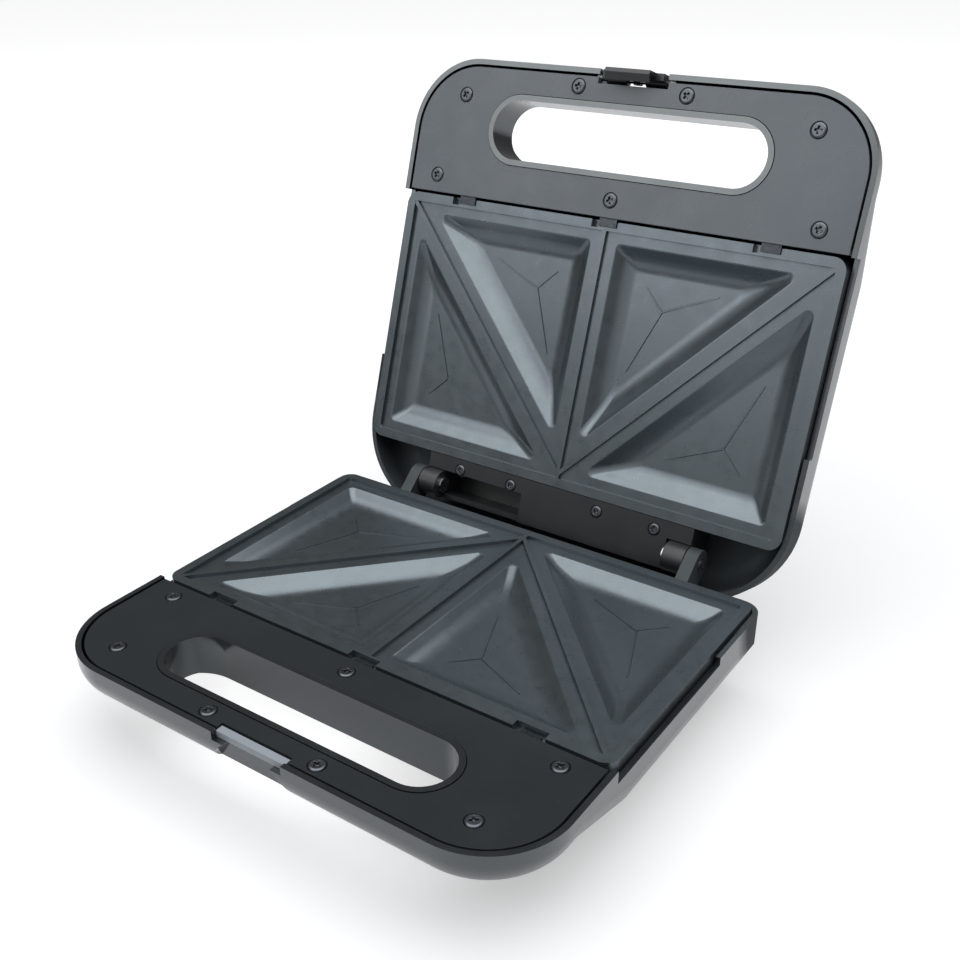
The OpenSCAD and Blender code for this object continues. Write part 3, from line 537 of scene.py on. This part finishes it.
def pocket_profile(drop, run, top_round, floor_round):
    """Insets and heights down a pocket's side: rounded top, straight slope and rounded floor."""
    tilt = math.atan2(drop, run)
    top_reach = top_round * math.tan(tilt / 2)
    floor_reach = floor_round * math.tan(tilt / 2)
    turns = [tilt * step / ROUND_STEPS for step in range(ROUND_STEPS + 1)]
    down = [
        (top_round * math.sin(turn) - top_reach, top_round * (math.cos(turn) - 1))
        for turn in turns[::TOP_ROUND_SKIP]
    ]
    bottom = run + floor_reach
    along = [
        (bottom - floor_round * math.sin(turn), floor_round * (1 - math.cos(turn)) - drop)
        for turn in reversed(turns)
    ]
    return down + along


def incircle(edges):
    """Centre, radius and side directions of the circle inside a rounded triangle's outline."""
    points = [vert.co.copy() for edge in edges for vert in edge.verts]
    middle = sum(points, Vector()) / len(points)
    rows = []
    reaches = []
    sides = []
    for side in sorted(edges, key=lambda edge: edge.calc_length())[-3:]:
        start, end = (vert.co for vert in side.verts)
        outward = Vector((end.y - start.y, start.x - end.x, 0)).normalized()
        if outward.dot(start - middle) < 0:
            outward.negate()
        sides.append(outward)
        rows.append((outward.x, outward.y, 1))
        reaches.append(outward.dot(start))
    x, y, radius = Matrix(rows).inverted() @ Vector(reaches)
    return Vector((x, y, 0)), radius, sides


class Pocket:
    """One triangular pocket, measured from the faces of the plain casting."""

    def __init__(self, faces, land, floor):
        edges = in_order(edge for face in faces for edge in face.edges)
        self.land = land
        self.floor = floor
        rim = [
            edge for edge in edges
            if all(abs(v.co.z - land) < NEAR_LEVEL for v in edge.verts)
        ]
        foot = [
            edge for edge in edges
            if all(abs(v.co.z - floor) < NEAR_LEVEL for v in edge.verts)
            and any(face.normal.z < FLAT for face in edge.link_faces)
            and all(face.normal.z > SLOPE[0] for face in edge.link_faces)
        ]
        self.centre, self.radius, self.sides = incircle(rim)
        self.run = self.radius - incircle(foot)[1]
        tops = {
            v.co.copy().freeze() for face in faces for v in face.verts if face.normal.z > FLAT}
        raised = [point - self.centre for point in tops if point.z > floor + NEAR_LEVEL]
        self.mark_top = max(point.z for point in raised)
        self.arms = []
        for one, other in ((0, 1), (1, 2), (2, 0)):
            way = (self.sides[one] + self.sides[other]).normalized()
            on_arm = [point for point in raised if abs(point.cross(way).z) < ARM_REACH]
            self.arms.append((way, max(point.dot(way) for point in on_arm)))

    def off_outline(self, point):
        """How far a point is outside the sharp triangle of the pocket's sides."""
        return max((point - self.centre).dot(side) for side in self.sides) - self.radius


def pocket_groups(mesh, land, floor):
    """The faces of each pocket: slopes, floor and raised marks."""
    def in_pocket(face):
        low = min(vert.co.z for vert in face.verts)
        high = max(vert.co.z for vert in face.verts)
        if low < floor - NEAR_LEVEL or high > land + NEAR_LEVEL:
            return False
        return high < floor + MM or low < floor + MM and face.normal.z > UPRIGHT

    left = in_order(face for face in mesh.faces if in_pocket(face))
    groups = []
    while left:
        stack = [left.popitem()[0]]
        group = []
        while stack:
            face = stack.pop()
            group.append(face)
            for edge in face.edges:
                for other in edge.link_faces:
                    if other in left:
                        del left[other]
                        stack.append(other)
        groups.append(group)
    return groups


def sink_pocket(pocket, outline, edges):
    """Runs a pocket's side down from its outline in rings, and closes it with a floor."""
    mesh = bmesh.from_edit_mesh(bpy.context.object.data)
    mesh.edges.ensure_lookup_table()
    bpy.ops.mesh.select_all(action="DESELECT")
    for index in outline:
        mesh.edges[index].select_set(True)
    mesh.select_flush_mode()
    before = pocket.radius
    level = pocket.land
    drop = pocket.land - pocket.floor
    profile = pocket_profile(drop, pocket.run, edges.pocket_top, edges.pocket_floor)
    for ring, (inset, depth) in enumerate(profile):
        if ring:
            bpy.ops.mesh.extrude_edges_move()
        size = (pocket.radius - inset) / before
        centre = pocket.centre + Vector((0, 0, level))
        bpy.ops.transform.resize(value=(size, size, 1), center_override=centre)
        bpy.ops.transform.translate(value=(0, 0, pocket.land + depth - level))
        before = pocket.radius - inset
        level = pocket.land + depth
    bpy.ops.mesh.edge_face_add()


def nearest(pockets, point):
    """The pocket whose outline a point is on, by its distance from the three sides."""
    return min(pockets, key=lambda pocket: abs(pocket.off_outline(point)))


ARM_DEPTH = 3
ARM_TOP_NARROWER = 0.75
ARM_TIP_NARROWER = 0.8


def mark_arm(pocket, way, length, edges):
    """A low ridge from a pocket's middle towards one corner, thinner at its end.

    It reaches down into the casting by ARM_DEPTH times its height over the floor.
    """
    deep = ARM_DEPTH * (pocket.mark_top - pocket.floor)
    middle = pocket.centre + way * (length / 2)
    middle.z = pocket.mark_top - deep / 2
    bpy.ops.object.select_all(action="DESELECT")
    bpy.ops.mesh.primitive_cube_add(
        size=1, location=middle, rotation=(0, 0, math.atan2(way.y, way.x)))
    arm = bpy.context.object
    arm.scale = (length, edges.mark, deep)
    select_only(arm)
    bpy.ops.object.transform_apply(location=True, rotation=True, scale=True)
    tip = pocket.centre + way * length

    def shape(piece):
        across = Vector((-way.y, way.x, 0))
        for vert in bmesh.from_edit_mesh(piece.data).verts:
            aside = across * (vert.co - pocket.centre).dot(across)
            narrower = ARM_TOP_NARROWER if vert.co.z > pocket.floor else 0
            if (vert.co - tip).dot(way) > -NEAR_LEVEL:
                narrower = ARM_TIP_NARROWER
            vert.co -= aside * narrower
        bmesh.update_edit_mesh(piece.data)

    edit(arm, shape)
    return arm


class TOASTER_OT_plates(ToasterOperator):
    """Give the cast cooking plates rounded pockets, marked floors and eased ridges"""

    bl_idname = "toaster.plates"
    bl_label = "Cooking plates"

    def execute(self, context):
        edges = context.scene.toaster_edges
        plate = welded_copy("base_plate", "base_plate_casting")
        pockets = []

        def remake_pockets(piece):
            mesh = bmesh.from_edit_mesh(piece.data)
            slopes = [face for face in mesh.faces if SLOPE[0] < face.normal.z < SLOPE[1]]
            floor = min(vert.co.z for face in slopes for vert in face.verts)
            land = max(vert.co.z for face in slopes for vert in face.verts)
            groups = pocket_groups(mesh, land, floor)
            if len(groups) != POCKETS:
                raise RuntimeError("the plate has %d pockets" % len(groups))
            pockets.extend(Pocket(group, land, floor) for group in groups)
            doomed = {face for group in groups for face in group}
            select_where(piece, "faces", lambda face: face in doomed)
            bpy.ops.mesh.delete(type="FACE")
            for pocket in pockets:
                mesh = bmesh.from_edit_mesh(piece.data)
                mesh.edges.index_update()
                outline = [
                    edge.index for edge in mesh.edges
                    if edge.is_boundary and nearest(pockets, edge.verts[0].co) is pocket
                ]
                sink_pocket(pocket, outline, edges)
            bpy.ops.mesh.select_all(action="SELECT")
            bpy.ops.mesh.normals_make_consistent(inside=False)

        edit(plate, remake_pockets)
        ease_edges(plate, edges.casting, 50, 3)
        arms = [
            mark_arm(pocket, way, length, edges)
            for pocket in pockets for way, length in pocket.arms
        ]
        select_only(plate)
        for arm in arms:
            arm.select_set(True)
        bpy.ops.object.join()
        smooth(plate, 28)
        lid_plate = turned_up(plate, "lid_plate_casting")
        finished(plate, "base", "base_plate")
        finished(lid_plate, "lid", "lid_plate")
        return {"FINISHED"}


class TOASTER_OT_housings(ToasterOperator):
    """Round the edges of the two moulded housings"""

    bl_idname = "toaster.housings"
    bl_label = "Housings"

    def execute(self, context):
        edges = context.scene.toaster_edges
        for node in ("base_housing", "lid_housing"):
            eased_piece(node, edges.housing, 48)
        return {"FINISHED"}


class TOASTER_OT_panels(ToasterOperator):
    """Round the edges of the two handle panels"""

    bl_idname = "toaster.panels"
    bl_label = "Handle panels"

    def execute(self, context):
        edges = context.scene.toaster_edges
        for node in ("base_handle_panel", "lid_handle_panel"):
            eased_piece(node, edges.panel, 38, 3)
        return {"FINISHED"}


def lid_to_flat():
    """Turns the open lid over onto the place of the base."""
    turn = Matrix.Rotation(-OPEN_ANGLE, 4, "X") @ Matrix.Rotation(math.pi, 4, "Y")
    return Matrix.Translation(HINGE) @ turn.inverted() @ Matrix.Translation(-HINGE)


def middle_of(points):
    low = Vector([min(point[k] for point in points) for k in range(3)])
    high = Vector([max(point[k] for point in points) for k in range(3)])
    return (low + high) / 2


def islands(node, turn=Matrix.Identity(4)):
    """Points of each separate solid of a CAD node, turned."""
    mesh = bmesh.new()
    mesh.from_mesh(frame["nodes"][node].data)
    bmesh.ops.remove_doubles(mesh, verts=mesh.verts, dist=WELD)
    left = in_order(mesh.verts)
    found = []
    while left:
        stack = [left.popitem()[0]]
        points = []
        while stack:
            vert = stack.pop()
            points.append(turn @ vert.co)
            for edge in vert.link_edges:
                other = edge.other_vert(vert)
                if other in left:
                    del left[other]
                    stack.append(other)
        found.append(points)
    mesh.free()
    return found


def faces_down(face):
    return face.normal.z < -0.9


HEAD_SIDES = 40
HEAD_ROUND = 0.62
SLOT_LENGTH = 1.3
SLOT_WIDTH = 0.42
SLOT_DEPTH = 1.6
SLOT_TAPER = 0.55
BURR = 0.1 * MM


def cross_screw(head_radius, head_height, shank_radius, length):
    """A pan-head screw with a cross recess, with the seat of its head on the origin.

    The slots are sized by the head's radius and height.
    """
    bpy.ops.object.select_all(action="DESELECT")
    bpy.ops.mesh.primitive_cylinder_add(
        vertices=HEAD_SIDES, radius=head_radius, depth=head_height,
        location=(0, 0, head_height / 2))
    screw = bpy.context.object
    select_only(screw)
    bpy.ops.object.transform_apply(location=True, rotation=True, scale=True)

    def shape(piece):
        rim = head_height * 0.99
        select_where(piece, "edges", lambda e: all(v.co.z > rim for v in e.verts))
        bpy.ops.mesh.bevel(
            offset=head_height * HEAD_ROUND, segments=5, profile=0.5, clamp_overlap=True)
        select_where(piece, "faces", faces_down)
        bpy.ops.mesh.inset(thickness=head_radius - shank_radius)
        bpy.ops.mesh.extrude_region_move(TRANSFORM_OT_translate={"value": (0, 0, -length)})

    edit(screw, shape)
    for turn in (0, math.pi / 2):
        bpy.ops.object.select_all(action="DESELECT")
        bpy.ops.mesh.primitive_cube_add(
            size=1, location=(0, 0, head_height), rotation=(0, 0, turn))
        slot = bpy.context.object
        slot.scale = (
            head_radius * SLOT_LENGTH, head_radius * SLOT_WIDTH, head_height * SLOT_DEPTH)
        select_only(slot)
        bpy.ops.object.transform_apply(location=True, rotation=True, scale=True)

        def taper(piece):
            select_where(piece, "faces", faces_down)
            bpy.ops.transform.resize(value=(SLOT_TAPER, SLOT_TAPER, 1))

        edit(slot, taper)
        apply_modifier(screw, "BOOLEAN", operation="DIFFERENCE", object=slot, solver="EXACT")
        bpy.data.objects.remove(slot)
    apply_modifier(
        screw, "BEVEL", width=BURR, segments=2, limit_method="ANGLE",
        angle_limit=math.radians(40))
    return screw


def screw_set(screw, name, places):
    """Copies of one screw at many places, joined as one piece."""
    copies = []
    for place in places:
        copy = bpy.data.objects.new(name, screw.data.copy())
        bpy.context.scene.collection.objects.link(copy)
        copy.data.transform(place)
        copies.append(copy)
    bpy.ops.object.select_all(action="DESELECT")
    for copy in copies:
        copy.select_set(True)
    bpy.context.view_layer.objects.active = copies[0]
    bpy.ops.object.join()
    copies[0].name = name
    smooth(copies[0])
    return copies[0]


def screw_places(node, rise, turn_of, flat=Matrix.Identity(4)):
    """Where the heads of a node's screws sit, each turned by its place across the toaster.

    flat turns the node so that its screws stand upright, and the places are turned back.
    """
    places = []
    for points in islands(node, flat):
        centre = middle_of(points)
        top = max(point.z for point in points)
        seat = Matrix.Translation((centre.x, centre.y, top - rise))
        turn = Matrix.Rotation(turn_of(centre.x), 4, "Z")
        places.append(flat.inverted() @ seat @ turn)
    return places


class TOASTER_OT_screws(ToasterOperator):
    """Model one cross-head screw, and set copies of it in the panels and the hinge cover"""

    bl_idname = "toaster.screws"
    bl_label = "Cross-head screws"

    def execute(self, context):
        sizes = context.scene.toaster_screws
        panel_screw = cross_screw(sizes.head, sizes.rise, sizes.shank, sizes.length)
        places = screw_places(
            "base_panel_screws", sizes.rise, lambda x: math.radians(20) + x * 40)
        base_set = screw_set(panel_screw, "base_cross_screws", places)
        lid_set = turned_up(base_set, "lid_cross_screws")
        bpy.data.objects.remove(panel_screw)
        finished(base_set, "base", "base_panel_screws")
        finished(lid_set, "lid", "lid_panel_screws")

        cover_screw = cross_screw(
            sizes.cover_head, sizes.cover_rise, sizes.shank, sizes.length)
        places = screw_places(
            "hinge_cover_screws", sizes.cover_rise, lambda x: x * 30, lid_to_flat())
        cover_set = screw_set(cover_screw, "cover_cross_screws", places)
        bpy.data.objects.remove(cover_screw)
        finished(cover_set, "lid", "hinge_cover_screws")
        return {"FINISHED"}


class TOASTER_OT_hinge(ToasterOperator):
    """Round the edges of the hinge block and its cover"""

    bl_idname = "toaster.hinge"
    bl_label = "Hinge"

    def execute(self, context):
        edges = context.scene.toaster_edges
        eased_piece("hinge_block", edges.panel, 38)
        eased_piece("hinge_cover", edges.panel, 38, 3)
        return {"FINISHED"}


class TOASTER_OT_latch(ToasterOperator):
    """Round the edges of the latch lever and the bar that it holds"""

    bl_idname = "toaster.latch"
    bl_label = "Latch"

    def execute(self, context):
        edges = context.scene.toaster_edges
        for node in ("latch_lever", "catch_bar"):
            eased_piece(node, edges.small, 38, 3)
        return {"FINISHED"}


class TOASTER_OT_small_pieces(ToasterOperator):
    """Round the edges of the clips, feet, cord inlet and lamp lenses"""

    bl_idname = "toaster.small_pieces"
    bl_label = "Small pieces"

    def execute(self, context):
        edges = context.scene.toaster_edges
        for node in ("base_plate_clips", "lid_plate_clips"):
            eased_piece(node, edges.small / 2, 38)
        for node in ("rubber_feet", "cord_gland", "power_lamp_lens", "ready_lamp_lens"):
            eased_piece(node, edges.small, 30, 3)
        return {"FINISHED"}


# ---- studio ----

KEY_PLACE = (0.1, -0.1, 1.4)
KEY_SIZE = (2.6, 2.0)
FILL_PLACE = (-0.9, -1.4, 1.05)
FILL_SIZE = (1.0, 1.0)
LAMP_AIM_HEIGHT = 0.1


class TOASTER_OT_studio(ToasterOperator):
    """Set the floor, the soft light and the camera"""

    bl_idname = "toaster.studio"
    bl_label = "Studio"

    def execute(self, context):
        studio = context.scene.toaster_studio
        build_floor(studio)
        build_sky(studio)
        soft_lamp("Overhead lamp", KEY_PLACE, KEY_SIZE, studio.key)
        soft_lamp("Front lamp", FILL_PLACE, FILL_SIZE, studio.fill)
        build_camera()
        context.scene.view_settings.view_transform = "Standard"
        return {"FINISHED"}


IN_REFLECTION = 0.25


def background_rays(finish):
    """1 where the camera or a clear piece sees the background, and less in a reflection."""
    rays = [
        finish.node("ShaderNodeLightPath", {}, {}, output)
        for output in ("Is Camera Ray", "Is Transmission Ray", "Is Glossy Ray")
    ]
    return rays[0] + rays[1] + rays[2] * IN_REFLECTION


FLOOR_NEAR = 0.3
FLOOR_FAR = 1.3
# Painted light: an ellipse of extra floor emission under the handle, which lightens the toaster's
# shadow there.
PAINTED_GLOW_CENTRE = (-0.042, -0.074, 0)
PAINTED_GLOW_SIZE = (1 / 0.11, 1 / 0.058, 1)
PAINTED_GLOW_EDGE = (0.3, 1.0)
PAINTED_GLOW_UNDER = 0.5


def build_floor(studio):
    """A pale floor that fades to white, with a painted glow under the handle that lightens the
    toaster's shadow where the finger slot shows the floor.
    """
    bpy.ops.object.select_all(action="DESELECT")
    bpy.ops.mesh.primitive_plane_add(size=studio.floor_size, location=(0, 0, 0))
    floor = bpy.context.object
    floor.name = "studio_floor"
    colour = bpy.context.scene.toaster_colours.floor
    finish = Finish("Studio floor", Roughness=0.9, Specular_IOR_Level=0.1)
    finish.set(Base_Color=finish.blend(finish.noise(6, 2), tint(colour, 0.99), tint(colour, 1.0)))
    away = finish.distance(finish.place)
    lift = finish.spread(away, FLOOR_NEAR, FLOOR_FAR, studio.near, studio.far)
    # Painted glow under the handle, lightening the shadow seen through the finger slot.
    under = finish.distance(finish.stretched(*PAINTED_GLOW_SIZE, PAINTED_GLOW_CENTRE))
    lift = lift + finish.spread(under, *PAINTED_GLOW_EDGE, PAINTED_GLOW_UNDER, 0)
    glow = background_rays(finish) * lift
    finish.set(
        Emission_Color=finish.blend(glow, (0, 0, 0, 1), (1, 1, 1, 1)), Emission_Strength=1.0)
    floor.data.materials.append(finish.material)


def build_sky(studio):
    """A white sky at full strength where it is seen, and at the sky setting where it lights;
    reflections see a painted softbox in it instead of white.
    """
    world = bpy.data.worlds.new("Studio sky")
    world.use_nodes = True
    bpy.context.scene.world = world
    tree = world.node_tree
    paths = tree.nodes.new("ShaderNodeLightPath")
    total = paths.outputs["Is Camera Ray"]
    for ray in ("Is Glossy Ray", "Is Transmission Ray"):
        add = tree.nodes.new("ShaderNodeMath")
        add.operation = "MAXIMUM"
        tree.links.new(total, add.inputs[0])
        tree.links.new(paths.outputs[ray], add.inputs[1])
        total = add.outputs[0]
    strength = tree.nodes.new("ShaderNodeMapRange")
    tree.links.new(total, strength.inputs["Value"])
    strength.inputs["To Min"].default_value = studio.sky
    strength.inputs["To Max"].default_value = 1.0
    background = tree.nodes["Background"]
    background.inputs["Color"].default_value = (1, 1, 1, 1)
    tree.links.new(strength.outputs["Result"], background.inputs["Strength"])
    paint_reflected_softbox(tree, paths, background)


# Painted reflection: aim and edge of a softbox that only reflections see in the sky.
PAINTED_SOFTBOX_AIM = Vector((0.0, -0.5, 0.85)).normalized()
PAINTED_SOFTBOX_EDGE = {"From Min": 0.56, "From Max": 0.68, "To Min": 0.12, "To Max": 0.9}


def paint_reflected_softbox(tree, paths, background):
    """Painted reflection: only reflections see a wide white softbox over the front, and dim walls
    around it; the light that falls on the toaster from the sky stays plain white.
    """
    place = tree.nodes.new("ShaderNodeTexCoord")
    aim = tree.nodes.new("ShaderNodeVectorMath")
    aim.operation = "DOT_PRODUCT"
    aim.inputs[1].default_value = PAINTED_SOFTBOX_AIM
    level = tree.nodes.new("ShaderNodeMapRange")
    tree.links.new(place.outputs["Generated"], aim.inputs[0])
    tree.links.new(aim.outputs["Value"], level.inputs["Value"])
    for name, value in PAINTED_SOFTBOX_EDGE.items():
        level.inputs[name].default_value = value
    seen = tree.nodes.new("ShaderNodeMix")
    tree.links.new(paths.outputs["Is Glossy Ray"], seen.inputs["Factor"])
    seen.inputs["A"].default_value = 1.0
    tree.links.new(level.outputs["Result"], seen.inputs["B"])
    tree.links.new(seen.outputs["Result"], background.inputs["Color"])


def soft_lamp(name, place, size, power):
    """A rectangular lamp aimed at the toaster, a little to the lamp's own side."""
    bpy.ops.object.light_add(type="AREA", location=place)
    lamp = bpy.context.object
    lamp.name = name
    aim = Vector((place[0] / 4, 0, LAMP_AIM_HEIGHT)) - Vector(place)
    lamp.rotation_euler = aim.to_track_quat("-Z", "Y").to_euler()
    lamp.data.shape = "RECTANGLE"
    lamp.data.size, lamp.data.size_y = size
    lamp.data.energy = power


CAMERA_FROM_HINGE = Vector((0.2530, -0.4263, 0.2702))
CAMERA_AIM = Vector((-0.5157, 0.7173, -0.4687))
CAMERA_ROLL = math.radians(-0.745)
CAMERA_LENS = 43.886
CAMERA_SENSOR = 36
CAMERA_SHIFT = (0.02342, 0.02466)


def build_camera():
    """Camera at the place, aim and lens that the toaster was seen with."""
    place = HINGE + CAMERA_FROM_HINGE
    bpy.ops.object.camera_add(location=place)
    camera = bpy.context.object
    aim = CAMERA_AIM.normalized()
    right = aim.cross(Vector((0, 0, 1))).normalized()
    up = right.cross(aim)
    rolled_right = math.cos(CAMERA_ROLL) * right + math.sin(CAMERA_ROLL) * up
    rolled_up = math.cos(CAMERA_ROLL) * up - math.sin(CAMERA_ROLL) * right
    axes = Matrix((rolled_right, rolled_up, -aim)).transposed()
    camera.matrix_world = Matrix.Translation(place) @ axes.to_4x4()
    camera.data.sensor_width = CAMERA_SENSOR
    camera.data.lens = CAMERA_LENS
    camera.data.shift_x, camera.data.shift_y = CAMERA_SHIFT
    bpy.context.scene.camera = camera


# ---- panel and registration ----

STEPS = (
    "finishes", "plates", "housings", "panels", "screws", "hinge", "latch", "small_pieces",
    "studio",
)
GROUPS = {
    "toaster_colours": ToasterColours,
    "toaster_edges": ToasterEdges,
    "toaster_screws": ToasterScrews,
    "toaster_studio": ToasterStudio,
}


class TOASTER_PT_steps(bpy.types.Panel):
    bl_label = "Sandwich toaster"
    bl_space_type = "VIEW_3D"
    bl_region_type = "UI"
    bl_category = "Toaster"

    def draw(self, context):
        for group in GROUPS:
            values = getattr(context.scene, group)
            box = self.layout.box()
            for setting in values.__annotations__:
                box.prop(values, setting)
        for step in STEPS:
            self.layout.operator("toaster." + step)


CLASSES = (
    ToasterColours, ToasterEdges, ToasterScrews, ToasterStudio,
    TOASTER_OT_finishes, TOASTER_OT_plates, TOASTER_OT_housings, TOASTER_OT_panels,
    TOASTER_OT_screws, TOASTER_OT_hinge, TOASTER_OT_latch, TOASTER_OT_small_pieces,
    TOASTER_OT_studio, TOASTER_PT_steps,
)


def register():
    for cls in CLASSES:
        bpy.utils.register_class(cls)
    for name, group in GROUPS.items():
        setattr(bpy.types.Scene, name, PointerProperty(type=group))


def unregister():
    for name in GROUPS:
        delattr(bpy.types.Scene, name)
    for cls in reversed(CLASSES):
        bpy.utils.unregister_class(cls)


def main():
    """Builds the toaster step by step."""
    register()
    for step in STEPS:
        getattr(bpy.ops.toaster, step)()


if __name__ == "__main__":
    main()
